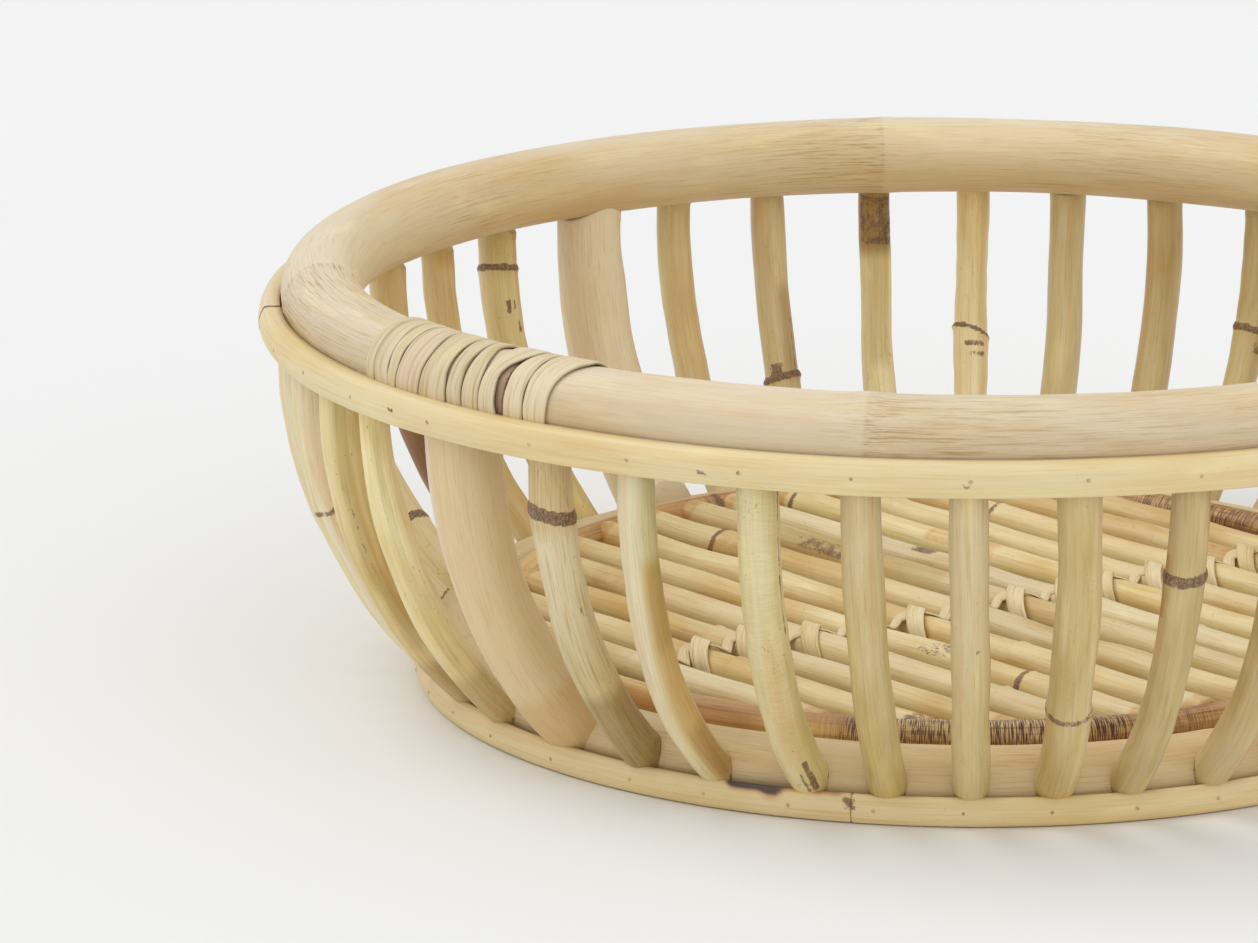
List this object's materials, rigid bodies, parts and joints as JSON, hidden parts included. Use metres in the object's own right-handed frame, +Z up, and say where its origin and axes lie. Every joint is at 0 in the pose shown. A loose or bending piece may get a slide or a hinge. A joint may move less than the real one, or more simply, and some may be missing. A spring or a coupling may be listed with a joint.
{
  "type": "cane winnowing basket",
  "caption": "Round shallow basket of bent canes: rim and base poles joined by curved upright staves, over a raised floor of loose rods on one crossbar.",
  "frame": {"origin": "centre of the basket on the surface that it rests on", "axes": "+Z up through the mouth, +X along the floor rods, +Y across them"},
  "size_m": [0.45, 0.4501, 0.1419],
  "materials": {
    "peeled_cane": "smooth peeled cane, satin, fine lengthwise fibres",
    "split_cane": "split cane with its pale yellow outer face, satin",
    "skin_cane": "cane with its skin on, faint gloss, mottled cream to olive",
    "floor_cane": "thin cane with its skin on, faint gloss, dark node rings",
    "brown_cane": "orange-brown cane, satin, dark cross-hatched patches",
    "peel_strip": "peeled-cane strip, satin, fine lengthwise ribs",
    "steel_brad": "dull steel"
  },
  "bodies": {
    "root": {"rim_pole": "peeled_cane", "rim_band": "split_cane", "rim_binding": "peel_strip", "base_pole": "peeled_cane", "base_band": "split_cane", "floor_ring": "brown_cane", "cross_bar": "brown_cane", "bar_lashing": "peel_strip", "rim_nails": "steel_brad", "base_nails": "steel_brad", "post_1": "peeled_cane", "post_2": "peeled_cane", "post_3": "peeled_cane", "post_4": "peeled_cane", "stave_01": "skin_cane", "stave_02": "skin_cane", "stave_03": "skin_cane", "stave_04": "skin_cane", "stave_05": "skin_cane", "stave_06": "skin_cane", "stave_07": "skin_cane", "stave_08": "skin_cane", "stave_09": "skin_cane", "stave_10": "skin_cane", "stave_11": "skin_cane", "stave_12": "skin_cane", "stave_13": "skin_cane", "stave_14": "skin_cane", "stave_15": "skin_cane", "stave_16": "skin_cane", "stave_17": "skin_cane", "stave_18": "skin_cane", "stave_19": "skin_cane", "stave_20": "skin_cane", "stave_21": "skin_cane", "stave_22": "skin_cane", "stave_23": "skin_cane", "stave_24": "skin_cane", "stave_25": "skin_cane", "stave_26": "skin_cane", "stave_27": "skin_cane", "stave_28": "skin_cane", "stave_29": "skin_cane", "stave_30": "skin_cane", "stave_31": "skin_cane", "stave_32": "skin_cane", "stave_33": "skin_cane", "stave_34": "skin_cane", "stave_35": "skin_cane", "stave_36": "skin_cane", "floor_rod_pair_1": "floor_cane", "floor_rod_pair_2": "floor_cane", "floor_rod_pair_3": "floor_cane", "floor_rod_pair_4": "floor_cane", "floor_rod_pair_5": "floor_cane", "floor_rod_pair_6": "floor_cane", "floor_rod_pair_7": "floor_cane"}
  },
  "joints": []
}
